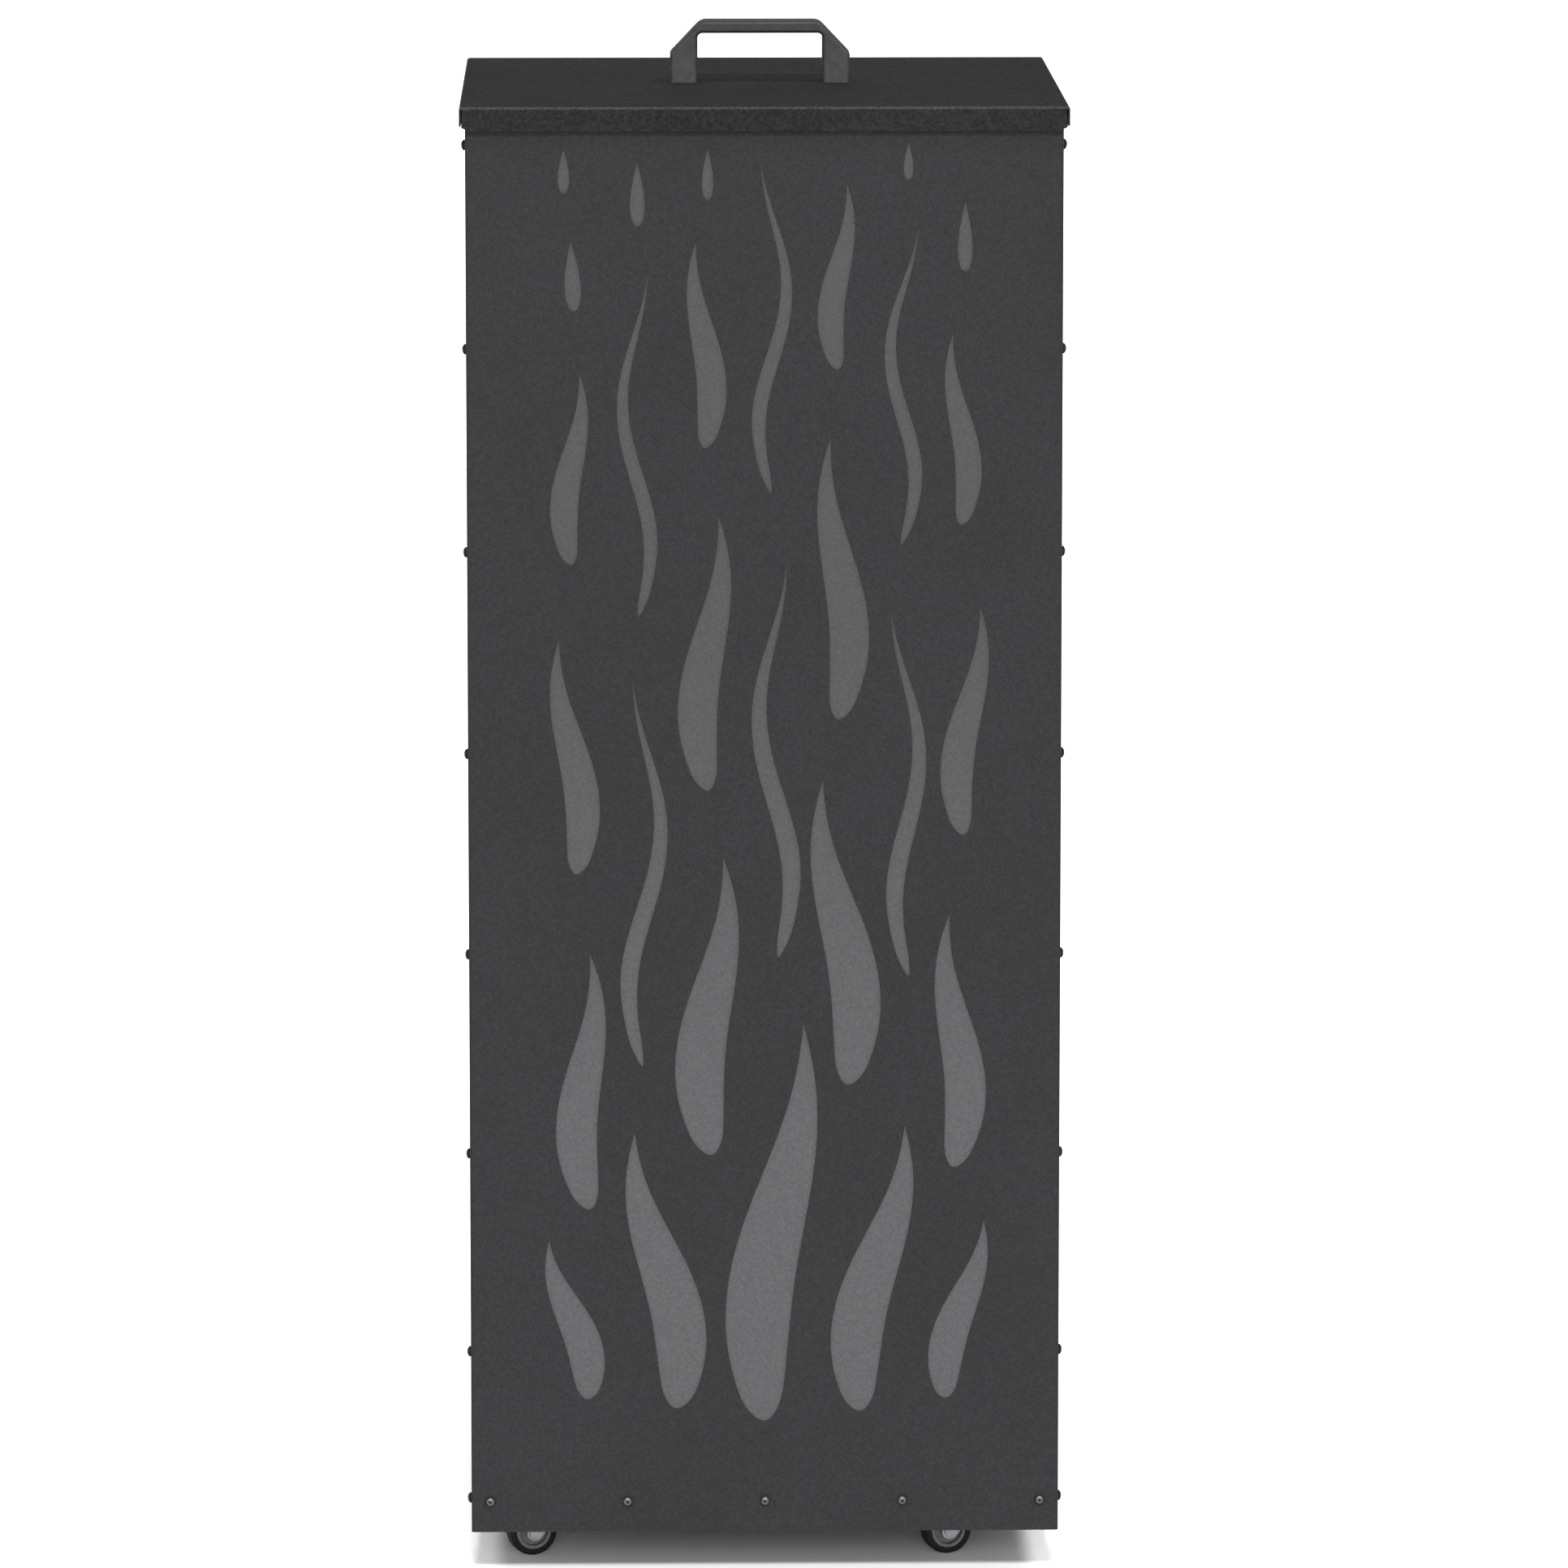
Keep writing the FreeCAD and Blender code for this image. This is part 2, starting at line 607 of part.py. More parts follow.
def caster_plate():
    half = PLATE_PITCH / 2 + PLATE_MARGIN
    plate = block(V(-half, -half, PLATE_UNDERSIDE), V(half, half, TRAY_UNDERSIDE))
    middle = PLATE_UNDERSIDE + PLATE_SHEET / 2
    upright = [edge for edge in plate.Edges if abs(edge.CenterOfMass.z - middle) < TOUCH]
    plate = plate.makeFillet(PLATE_CORNER, upright)
    bolt_seats = [(place, DOWN) for place in plate_corners(ORIGIN, TRAY_UNDERSIDE)]
    plate = drilled(plate, bolt_seats, BOLT_RADIUS + BOLT_CLEARANCE, PLATE_SHEET)
    plate = drilled(plate, [(V(0, 0, PLATE_UNDERSIDE), UP)], KING_PIN_NECK, PLATE_SHEET)
    return plate.cut(ball_race())


def caster_king_pin():
    """Rivet that the fork swivels on: neck in the plate, shank in the crown, head below."""
    head_top = CROWN_UNDERSIDE - KING_PIN_PLAY
    head_foot = head_top - KING_PIN_HEAD
    profile = [
        V(0, 0, head_foot),
        V(KING_PIN_HEAD_RADIUS, 0, head_foot),
        V(KING_PIN_HEAD_RADIUS, 0, head_top),
        V(KING_PIN_RADIUS, 0, head_top),
        V(KING_PIN_RADIUS, 0, PLATE_UNDERSIDE),
        V(KING_PIN_NECK, 0, PLATE_UNDERSIDE),
        V(KING_PIN_NECK, 0, TRAY_UNDERSIDE),
        V(0, 0, TRAY_UNDERSIDE),
    ]
    return turned(profile, UP)


def caster_balls():
    """Ring of bearing balls between the plate and the crown of the fork."""
    balls = []
    for i in range(BALL_COUNT):
        turn = 2 * math.pi * i / BALL_COUNT
        centre = V(RACE_RADIUS * math.cos(turn), RACE_RADIUS * math.sin(turn), RACE_HEIGHT)
        balls.append(Part.makeSphere(BALL_RADIUS, centre))
    return Part.makeCompound(balls)


def tangent_point(point, centre, radius, side):
    """Where a line from a point touches a circle that stands in the XZ plane."""
    gap = centre - point
    swing = side * math.asin(radius / gap.Length)
    reach = math.sqrt(gap.Length ** 2 - radius ** 2)
    heading = math.atan2(gap.z, gap.x) + swing
    return point + V(reach * math.cos(heading), 0, reach * math.sin(heading))


WHEEL_CENTRE = V(CASTER_TRAIL, 0, WHEEL_RADIUS)
HUB_LENGTH = TYRE_WIDTH + 2 * HUB_PROUD
FORK_INSIDE = HUB_LENGTH / 2 + FORK_PLAY
FORK_OUTSIDE = FORK_INSIDE + FORK_SHEET


def caster_fork():
    """Pressed fork: a round crown under the ball race and two legs that taper to the axle."""
    back = V(-FORK_LEG_TOP, 0, CROWN_TOP)
    front = V(FORK_LEG_TOP, 0, CROWN_TOP)
    front_touch = tangent_point(front, WHEEL_CENTRE, FORK_EYE_RADIUS, 1)
    back_touch = tangent_point(back, WHEEL_CENTRE, FORK_EYE_RADIUS, -1)
    eye_foot = WHEEL_CENTRE + DOWN * FORK_EYE_RADIUS
    outline = Part.Wire(
        [
            Part.LineSegment(back, front).toShape(),
            Part.LineSegment(front, front_touch).toShape(),
            Part.Arc(front_touch, eye_foot, back_touch).toShape(),
            Part.LineSegment(back_touch, back).toShape(),
        ]
    )
    leg = Part.Face(outline).extrude(BACK * FORK_SHEET)
    right_leg = leg.copy()
    right_leg.translate(BACK * FORK_INSIDE)
    left_leg = leg.copy()
    left_leg.translate(FRONT * FORK_OUTSIDE)
    crown = Part.makeCylinder(RACE_RADIUS + BALL_RADIUS + CROWN_LIP, FORK_SHEET, V(0, 0, CROWN_UNDERSIDE))
    fork = crown.fuse([right_leg, left_leg]).removeSplitter()
    axle_seat = WHEEL_CENTRE + FRONT * FORK_OUTSIDE
    fork = drilled(fork, [(axle_seat, BACK)], AXLE_RADIUS, 2 * FORK_OUTSIDE)
    fork = drilled(fork, [(V(0, 0, CROWN_UNDERSIDE), UP)], KING_PIN_RADIUS + AXLE_CLEARANCE, FORK_SHEET)
    return fork.cut(ball_race())


def wheel_piece(profile):
    """Solid turned about the axle from points given as radius and place along the axle."""
    piece = turned([V(radius, along, 0) for radius, along in profile], BACK)
    piece.translate(WHEEL_CENTRE)
    return piece


def caster_axle():
    """Axle pin riveted over at both ends."""
    tip = FORK_OUTSIDE + AXLE_HEAD_HEIGHT
    half = [
        (AXLE_RADIUS, FORK_OUTSIDE),
        (AXLE_HEAD_RADIUS, FORK_OUTSIDE),
        (AXLE_HEAD_RADIUS, tip),
        (0, tip),
    ]
    return wheel_piece([(r, -a) for r, a in reversed(half)] + half)


def caster_hub():
    """Moulded wheel hub: boss, web and rim."""
    bore = AXLE_RADIUS + AXLE_CLEARANCE
    rim = WHEEL_RADIUS - TYRE_THICKNESS
    rim_side = TYRE_WIDTH / 2 - HUB_RIM_STEP
    half = [
        (rim, rim_side),
        (rim - HUB_RIM, rim_side),
        (rim - HUB_RIM, HUB_WEB / 2),
        (HUB_BOSS_RADIUS, HUB_WEB / 2),
        (HUB_BOSS_RADIUS, HUB_LENGTH / 2),
        (bore, HUB_LENGTH / 2),
    ]
    return wheel_piece(half + [(r, -a) for r, a in reversed(half)])


def caster_tyre():
    """Rubber tyre with rounded shoulders."""
    inside = WHEEL_RADIUS - TYRE_THICKNESS
    side = TYRE_WIDTH / 2
    tyre = wheel_piece([(inside, -side), (WHEEL_RADIUS, -side), (WHEEL_RADIUS, side), (inside, side)])
    shoulders = []
    for edge in tyre.Edges:
        if isinstance(edge.Curve, Part.Circle) and abs(edge.Curve.Radius - WHEEL_RADIUS) < TOUCH:
            shoulders.append(edge)
    return tyre.makeFillet(TYRE_SHOULDER, shoulders)


def caster(corner, pivot):
    """Nodes of one caster; the fork and what it carries trail towards the heading."""
    fixed = {"plate": caster_plate(), "king_pin": caster_king_pin(), "balls": caster_balls()}
    swivelling = {"fork": caster_fork(), "axle": caster_axle(), "hub": caster_hub(), "tyre": caster_tyre()}
    for piece in swivelling.values():
        piece.rotate(ORIGIN, UP, CASTER_HEADING_ANGLE)
    nodes = {}
    for name, piece in {**fixed, **swivelling}.items():
        piece.translate(pivot)
        nodes[f"{corner}_caster_{name}"] = piece
    return nodes


def bin_nodes():
    """Every piece of the bin by its node's name."""
    body_screw = pan_head_screw(SCREW_RADIUS, SCREW_LENGTH, SCREW_HEAD_RADIUS, SCREW_HEAD_HEIGHT)
    nodes = {
        "front_panel": front_panel(),
        "decor_backing": decor_backing(),
        "left_side_panel": side_panel(-1),
        "right_side_panel": side_panel(1),
        "back_panel": back_panel(),
        "floor_tray": floor_tray(),
        "front_floor_screws": screws(FRONT_SEATS, body_screw),
        "back_floor_screws": screws(BACK_SEATS, body_screw),
        "left_side_screws": screws(LEFT_SEATS, body_screw),
        "right_side_screws": screws(RIGHT_SEATS, body_screw),
        "caster_bolts": caster_bolts(),
        "caster_nuts": caster_nuts(),
        "lid_shell": lid_shell(),
        "lid_handle": lid_handle(),
        "handle_inserts": handle_inserts(),
        "handle_washers": handle_washers(),
        "handle_screws": handle_screws(),
    }
    for corner, pivot in caster_pivots().items():
        nodes.update(caster(corner, pivot))
    return nodes


os.makedirs("parts", exist_ok=True)
for node_name, node_shape in bin_nodes().items():
    node_shape.exportStep(f"parts/{node_name}.step")
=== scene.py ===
import math

import bpy
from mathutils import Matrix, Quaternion, Vector


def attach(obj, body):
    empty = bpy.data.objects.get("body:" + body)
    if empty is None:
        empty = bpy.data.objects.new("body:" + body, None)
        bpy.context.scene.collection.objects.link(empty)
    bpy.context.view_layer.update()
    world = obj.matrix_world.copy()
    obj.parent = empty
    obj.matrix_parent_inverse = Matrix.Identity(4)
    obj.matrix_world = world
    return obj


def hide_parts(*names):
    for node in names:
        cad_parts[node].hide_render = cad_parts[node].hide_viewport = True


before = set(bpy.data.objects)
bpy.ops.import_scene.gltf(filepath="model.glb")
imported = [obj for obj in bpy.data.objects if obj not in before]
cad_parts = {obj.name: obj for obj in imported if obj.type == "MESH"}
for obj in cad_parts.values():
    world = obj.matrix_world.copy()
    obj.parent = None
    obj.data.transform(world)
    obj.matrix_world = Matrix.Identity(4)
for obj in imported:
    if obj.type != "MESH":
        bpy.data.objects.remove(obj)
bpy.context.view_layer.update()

# Pellet storage bin: finishes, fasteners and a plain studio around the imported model.
# Metres and radians. The front faces -Y, +X is to the right and the floor is at z = 0.

MM = 0.001
LEFT = Vector((-1, 0, 0))
RIGHT = Vector((1, 0, 0))
FRONT = Vector((0, -1, 0))
BACK = Vector((0, 1, 0))
DOWN = Vector((0, 0, -1))
UP = Vector((0, 0, 1))
CORNERS = ("front_left", "front_right", "rear_left", "rear_right")

# Seats of the fasteners
SIDE_FACE = 180.0 * MM
LAPPED_FACE = 178.8 * MM        # outside of the side panels, under the returns of the end panels
SCREW_INSET = 11.5 * MM
FLOOR_ROW_HEIGHT = 47.2 * MM
COLUMN_FOOT = 139.0 * MM
COLUMN_TOP = 880.0 * MM
ROW_COUNT = 5
COLUMN_COUNT = 7
CASTER_PIVOT_X = 128.5 * MM
CASTER_PIVOT_Y = 114.0 * MM
PLATE_HALF_PITCH = 16.0 * MM
TRAY_TOP = 42.5 * MM
NUT_FOOT = 35.8 * MM
HANDLE_HALF_PITCH = 47.0 * MM
WASHER_FOOT = 902.0 * MM

# Fasteners: shank radius and length, head radius and height, thread pitch
BODY_SCREW = (1.75 * MM, 6.5 * MM, 3.2 * MM, 2.5 * MM, 1.3 * MM)
CASTER_BOLT = (2.0 * MM, 10.0 * MM, 3.8 * MM, 2.4 * MM, 0.9 * MM)
HANDLE_SCREW = (2.45 * MM, 11.0 * MM, 4.6 * MM, 3.0 * MM, 1.0 * MM)
FASTENER_TURN = 2.4             # each screw stops at another angle
TURNED_SIDES = 24
EDGE_SEGMENTS = 2
EDGE_ANGLE = math.radians(50)   # edges that are sharper are broken
SMOOTH_ANGLE = math.radians(35)  # edges that are flatter are shaded smooth

# Shanks and heads
TIP_SHARE = 0.35                # radius of the tip, of the shank's core
THREAD_DEPTH_SHARE = 0.2        # of the shank's radius
RIDGE_START = 0.4               # in pitches, as the next two
RIDGE_END = 0.55
BARE_ENDS = 1.5                 # of the shank
HEAD_STEP = 0.02 * MM           # from the shank's core out to the head
HEAD_FOOT_SHARE = 0.96          # radius of the head's foot, of the head's radius
HEAD_CHAMFER_SHARE = 0.08       # height of the chamfer there, of the head's height
HEAD_RIM_SHARE = 0.4            # height of the upright rim, of the head's height
HEAD_EDGE_SHARE = 0.02          # width of the broken edges, of the head's radius
DOME_STEPS = 5
RIM_SLOPE = 0.8                 # most upward slope of the head's rim, which gets a painted shade

# Cross recess of a head
RECESS_SHARE = 0.52             # reach, of the head's radius
RECESS_ARM_SHARE = 0.5          # width of the arms, of the reach
RECESS_DEPTH_SHARE = 0.7        # of the head's height
RECESS_TAPER = 0.45             # width at the bottom, of that at the top
PUNCH_OVERCUT = 1.0 * MM        # how far the punch stands out of the head
LEVEL_SLOPE = 0.5               # upward slope that tells its ends from its upright faces
PAINTED_SHADE_DEPTH_SHARE = 0.1       # depth below which the recess gets the painted shade, of the head's height

# Nuts
NUT_FLATS = 7.0 * MM
NUT_HEIGHT = 3.2 * MM
NUT_BORE = 2.05 * MM            # radius
NUT_CHAMFER = 0.45 * MM
NUT_FACE_SHARE = 0.94           # width of a round end face, of the flats
NUT_CORNER_SHARE = 1.01         # radius of the barrel that chamfers the corners, of their reach
NUT_EDGE = 0.05 * MM
SINK_SHARE = 1.15               # radius of the bore's mouth, of the bore's
SINK_DEPTH_SHARE = 0.15         # depth of the mouth, of the bore's radius
BORE_OVERCUT = 0.1 * MM


# Finishes

BLACK = (0, 0, 0)
WHITE = (1, 1, 1)
CLOUD_SPAN = (0.35, 0.65)       # values of a noise between which a colour goes over
SKIN_SPAN = (0.3, 0.7)          # values of a noise between which a roughness does
COAT_MOTTLE = (580, 3)          # noises of the powder coat: cells per metre and detail
COAT_PATCHES = (9, 5)
COAT_PIMPLES = (900, 2)
COAT_HAZE_DETAIL = 4
COAT_MOTTLE_SHADES = (0.71, 1.29)  # of the coat's tone
COAT_PATCH_SHADES = (0.88, 1.04)
COAT_RELIEF = (0.35, 0.06 * MM)  # strength and depth of the pimples
BEND_HIGHLIGHT_GAIN = 2.25               # painted highlight: how much lighter the coat's colour is on the bends of the lid
BEND_POLISH = 0.12              # how much smoother it is there
UPRIGHT_END = (0.03, 0.25)      # upward slope where a skirt goes over into a bend
LEVEL_END = (0.75, 0.97)        # upward slope where a bend goes over into the top
BACKING_SHADE_DEPTH = 0.68            # painted shade: how dark the grey backing's colour is in its upper half, of its colour below
BACKING_FADE = (0.28, 0.58)     # heights in metres where it goes over
GRIP_SHADE_DEPTH = 0.55               # painted shade: how dark the handle's grip is, of the colour of its feet
GRIP_FADE = (0.914, 0.936)      # heights in metres where it goes over


def grey(tone, coolness=1):
    """Grey whose blue is its red and green times its coolness."""
    return (tone, tone, tone * coolness)


def new_finish(name, colour, roughness, metallic=0.0, specular=0.5):
    """Material with its even values set on the shader."""
    finish = bpy.data.materials.new(name)
    finish.use_nodes = True
    shader = finish.node_tree.nodes["Principled BSDF"]
    shader.inputs["Base Color"].default_value = (*colour, 1)
    shader.inputs["Roughness"].default_value = roughness
    shader.inputs["Metallic"].default_value = metallic
    shader.inputs["Specular IOR Level"].default_value = specular
    return finish


def add_node(finish, kind, values=None, **settings):
    """Shader node with some of its input values and settings."""
    made = finish.node_tree.nodes.new("ShaderNode" + kind)
    for name, value in settings.items():
        setattr(made, name, value)
    for socket, value in (values or {}).items():
        made.inputs[socket].default_value = value
    return made


def link(finish, output, socket):
    finish.node_tree.links.new(output, socket)


def speckle(finish, cells, detail, stretch=(1, 1, 1)):
    """Noise over the piece's own coordinates, in cells per metre."""
    coordinates = add_node(finish, "TexCoord")
    mapping = add_node(finish, "Mapping", {"Scale": stretch})
    noise = add_node(finish, "TexNoise", {"Scale": cells, "Detail": detail})
    link(finish, coordinates.outputs["Object"], mapping.inputs["Vector"])
    link(finish, mapping.outputs["Vector"], noise.inputs["Vector"])
    return noise.outputs["Fac"]


def ramp(finish, value, start, end, span=CLOUD_SPAN):
    """Colour that goes from start to end as a value goes over a span."""
    made = add_node(finish, "ValToRGB")
    first, last = made.color_ramp.elements
    first.position, last.position = span
    first.color = (*start, 1)
    last.color = (*end, 1)
    link(finish, value, made.inputs["Fac"])
    return made.outputs["Color"]


def multiply(finish, colour, factor):
    made = add_node(finish, "Mix", {"Factor": 1.0}, data_type="RGBA", blend_type="MULTIPLY")
    link(finish, colour, made.inputs["A"])
    link(finish, factor, made.inputs["B"])
    return made.outputs["Result"]


def paint_shade_upwards(finish, colour, depth, heights):
    """Painted shade: colour that goes over to a deeper shade between two heights."""
    coordinates = add_node(finish, "TexCoord")
    place = add_node(finish, "SeparateXYZ")
    link(finish, coordinates.outputs["Object"], place.inputs["Vector"])
    shade = ramp(finish, place.outputs["Z"], WHITE, grey(depth), heights)
    return multiply(finish, colour, shade)


def paint(finish, colour):
    link(finish, colour, finish.node_tree.nodes["Principled BSDF"].inputs["Base Color"])


def vary_roughness(finish, noise, smooth, rough):
    """Roughness that follows the noise."""
    low, high = SKIN_SPAN
    values = {"From Min": low, "From Max": high, "To Min": smooth, "To Max": rough}
    made = add_node(finish, "MapRange", values)
    link(finish, noise, made.inputs["Value"])
    link(finish, made.outputs["Result"], finish.node_tree.nodes["Principled BSDF"].inputs["Roughness"])


def emboss(finish, noise, strength, depth):
    """Bump of the surface that follows the noise."""
    bump = add_node(finish, "Bump", {"Strength": strength, "Distance": depth})
    link(finish, noise, bump.inputs["Height"])
    link(finish, bump.outputs["Normal"], finish.node_tree.nodes["Principled BSDF"].inputs["Normal"])


def powder_coat(name, tone, coolness, gloss, roughness, haze):
    """Anthracite powder coat: fine pimples, a mottle, broad patches and a haze, in cells per metre."""
    finish = new_finish(name, grey(tone), sum(roughness) / 2, specular=gloss)
    dark, light = [grey(share * tone, coolness) for share in COAT_MOTTLE_SHADES]
    mottle = ramp(finish, speckle(finish, *COAT_MOTTLE), dark, light)
    deep, pale = [grey(share) for share in COAT_PATCH_SHADES]
    patches = ramp(finish, speckle(finish, *COAT_PATCHES), deep, pale)
    paint(finish, multiply(finish, mottle, patches))
    vary_roughness(finish, speckle(finish, haze, COAT_HAZE_DETAIL), *roughness)
    emboss(finish, speckle(finish, *COAT_PIMPLES), *COAT_RELIEF)
    return finish


def paint_bend_highlight(finish):
    """Paints a highlight on a coat by making its colour lighter where the sheet is bent, and makes it
    smoother there, by the upward slope of its surface.
    """
    geometry = add_node(finish, "NewGeometry")
    normal = add_node(finish, "SeparateXYZ")
    link(finish, geometry.outputs["Normal"], normal.inputs["Vector"])
    off_skirt = ramp(finish, normal.outputs["Z"], BLACK, WHITE, UPRIGHT_END)
    off_top = ramp(finish, normal.outputs["Z"], WHITE, BLACK, LEVEL_END)
    bent = multiply(finish, off_skirt, off_top)
    shader = finish.node_tree.nodes["Principled BSDF"]
    # painted highlight: the colour is made lighter on the bends
    lighter = add_node(finish, "MapRange", {"To Min": 1.0, "To Max": BEND_HIGHLIGHT_GAIN})
    link(finish, bent, lighter.inputs["Value"])
    colour = shader.inputs["Base Color"].links[0].from_socket
    paint(finish, multiply(finish, colour, lighter.outputs["Result"]))
    smoother = add_node(finish, "Math", {1: -BEND_POLISH}, operation="MULTIPLY_ADD")
    link(finish, bent, smoother.inputs[0])
    link(finish, shader.inputs["Roughness"].links[0].from_socket, smoother.inputs[2])
    link(finish, smoother.outputs["Value"], shader.inputs["Roughness"])


def mottled_finish(
    name, shades, clouds, skin, roughness, relief=None, painted_shade=None, metallic=0.0, specular=0.5
):
    """Finish with a cloudy colour and an uneven roughness, which may be embossed and carry a painted
    shade that is deeper above.

    Clouds are the noise of the colour and skin is that of the roughness: cells per metre, detail and
    any stretch. A relief is the strength and depth of the skin's emboss, and a painted shade is the
    deeper shade and its heights.
    """
    middle = [sum(pair) / 2 for pair in zip(*shades)]
    finish = new_finish(name, middle, sum(roughness) / 2, metallic, specular)
    colour = ramp(finish, speckle(finish, *clouds), *shades)
    # painted shade that darkens the colour above the given heights
    if painted_shade:
        colour = paint_shade_upwards(finish, colour, *painted_shade)
    paint(finish, colour)
    surface = speckle(finish, *skin)
    vary_roughness(finish, surface, *roughness)
    if relief:
        emboss(finish, surface, *relief)
    return finish


def dress(nodes, finish):
    """Gives CAD nodes their finish."""
    for name in nodes:
        for material_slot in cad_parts[name].material_slots:
            material_slot.material = finish


def caster_nodes(*pieces):
    return [f"{corner}_caster_{piece}" for corner in CORNERS for piece in pieces]


BODY_COAT = powder_coat(
    "powder_coat",
    tone=0.0076,
    coolness=1.1,
    gloss=0.218,
    roughness=(0.68, 0.82),
    haze=900,
)
LID_COAT = powder_coat(
    "lid_coat",
    tone=0.0105,
    coolness=1.0,
    gloss=0.05,
    roughness=(0.6, 1.0),
    haze=400,
)
paint_bend_highlight(LID_COAT)

# Satin grey paint of the sheet behind the picture, darker in its upper half by a painted shade
BACKING_GREY = mottled_finish(
    "backing_grey",
    shades=((0.0345, 0.0345, 0.0358), (0.0455, 0.0455, 0.0472)),
    clouds=(580, 3),
    skin=(700, 2),
    roughness=(0.46, 0.56),
    relief=(0.12, 0.04 * MM),
    painted_shade=(BACKING_SHADE_DEPTH, BACKING_FADE),
    specular=0.2,
)

# Moulded plastics and rubber with a spark-eroded grain
# the grip is darker than the feet by a painted shade
HANDLE_PLASTIC = mottled_finish(
    "handle_plastic",
    shades=((0.014, 0.014, 0.0143), (0.022, 0.022, 0.0224)),
    clouds=(300, 2),
    skin=(1600, 3),
    roughness=(0.5, 0.66),
    relief=(0.4, 0.05 * MM),
    painted_shade=(GRIP_SHADE_DEPTH, GRIP_FADE),
    specular=0.3,
)
HUB_PLASTIC = mottled_finish(
    "hub_plastic",
    shades=((0.095, 0.095, 0.097), (0.125, 0.125, 0.127)),
    clouds=(350, 2),
    skin=(1500, 2),
    roughness=(0.45, 0.58),
    relief=(0.2, 0.03 * MM),
    specular=0.3,
)
TYRE_RUBBER = mottled_finish(
    "tyre_rubber",
    shades=((0.004, 0.004, 0.004), (0.009, 0.009, 0.0088)),
    clouds=(500, 3),
    skin=(1800, 3),
    roughness=(0.68, 0.85),
    relief=(0.4, 0.05 * MM),
    specular=0.2,
)

# Black zinc of the screws with worn brighter spots, and near-black as a painted shade for their
# recesses and rims
SCREW_BLACK = mottled_finish(
    "black_zinc",
    shades=((0.06, 0.06, 0.064), (0.13, 0.13, 0.135)),
    clouds=(900, 3),
    skin=(600, 2),
    roughness=(0.44, 0.58),
    metallic=1.0,
)
SCREW_SHADE = mottled_finish(
    "painted_shade_black",
    shades=((0.005, 0.005, 0.005), (0.012, 0.012, 0.012)),
    clouds=(900, 3),
    skin=(900, 3),
    roughness=(0.7, 0.9),
    specular=0.1,
)

# Zinc plate with faint drawing marks, and darker zinc as a painted shade for the recesses and rims of
# its screws
ZINC = mottled_finish(
    "bright_zinc",
    shades=((0.18, 0.184, 0.19), (0.28, 0.285, 0.292)),
    clouds=(160, 3),
    skin=(420, 2, (1, 1, 0.15)),
    roughness=(0.38, 0.54),
    relief=(0.15, 0.03 * MM),
    metallic=1.0,
)
ZINC_SHADE = mottled_finish(
    "painted_shade_zinc",
    shades=((0.11, 0.11, 0.115), (0.21, 0.21, 0.215)),
    clouds=(400, 3),
    skin=(400, 3),
    roughness=(0.5, 0.7),
    metallic=1.0,
)

# Brass of the inserts with turning marks
TURNED_BRASS = mottled_finish(
    "turned_brass",
    shades=((0.62, 0.43, 0.16), (0.74, 0.54, 0.23)),
    clouds=(300, 2),
    skin=(700, 2, (0.2, 0.2, 1)),
    roughness=(0.24, 0.4),
    metallic=1.0,
)

dress(["front_panel", "left_side_panel", "right_side_panel", "back_panel", "floor_tray"], BODY_COAT)
dress(["lid_shell"], LID_COAT)
dress(["decor_backing"], BACKING_GREY)
dress(["lid_handle"], HANDLE_PLASTIC)
dress(["handle_inserts"], TURNED_BRASS)
dress(["handle_washers"] + caster_nodes("plate", "king_pin", "balls", "fork", "axle"), ZINC)
dress(caster_nodes("hub"), HUB_PLASTIC)
dress(caster_nodes("tyre"), TYRE_RUBBER)


# Fasteners


def only_select(piece):
    bpy.ops.object.select_all(action="DESELECT")
    piece.select_set(True)
    bpy.context.view_layer.objects.active = piece


def select_faces(piece, test):
    """In edit mode, selects the faces whose middle and normal pass a test."""
    bpy.ops.mesh.select_mode(type="FACE")
    bpy.ops.mesh.select_all(action="DESELECT")
    bpy.ops.object.mode_set(mode="OBJECT")
    for face in piece.data.polygons:
        face.select = test(face.center, face.normal)
    bpy.ops.object.mode_set(mode="EDIT")


def turned(name, profile):
    """Closed turned shape: a disc drawn out ring by ring through radii and rising heights."""
    bpy.ops.object.select_all(action="DESELECT")
    radius, height = profile[0]
    bpy.ops.mesh.primitive_circle_add(vertices=TURNED_SIDES, radius=radius, fill_type="NGON")
    piece = bpy.context.object
    piece.name = name
    bpy.ops.object.mode_set(mode="EDIT")
    bpy.ops.mesh.select_all(action="SELECT")
    bpy.ops.transform.translate(value=(0, 0, height))
    for next_radius, next_height in profile[1:]:
        share = next_radius / radius
        bpy.ops.mesh.extrude_region_move(TRANSFORM_OT_translate={"value": (0, 0, next_height - height)})
        bpy.ops.transform.resize(value=(share, share, 1), center_override=(0, 0, 0))
        radius, height = next_radius, next_height
    bpy.ops.mesh.select_all(action="SELECT")
    bpy.ops.mesh.normals_make_consistent(inside=False)
    bpy.ops.object.mode_set(mode="OBJECT")
    return piece


def cut(piece, tool, operation="DIFFERENCE"):
    """Cuts a piece with a tool, which is used up."""
    only_select(piece)
    modifier = piece.modifiers.new("cut", "BOOLEAN")
    modifier.operation = operation
    modifier.solver = "EXACT"
    modifier.object = tool
    bpy.ops.object.modifier_apply(modifier=modifier.name)
    bpy.data.objects.remove(tool)


def soften(piece, width):
    """Breaks the sharp edges and shades the turned faces smooth."""
    only_select(piece)
    modifier = piece.modifiers.new("broken_edges", "BEVEL")
    modifier.width = width
    modifier.segments = EDGE_SEGMENTS
    modifier.limit_method = "ANGLE"
    modifier.angle_limit = EDGE_ANGLE
    bpy.ops.object.modifier_apply(modifier=modifier.name)
    bpy.ops.object.shade_smooth_by_angle(angle=SMOOTH_ANGLE)


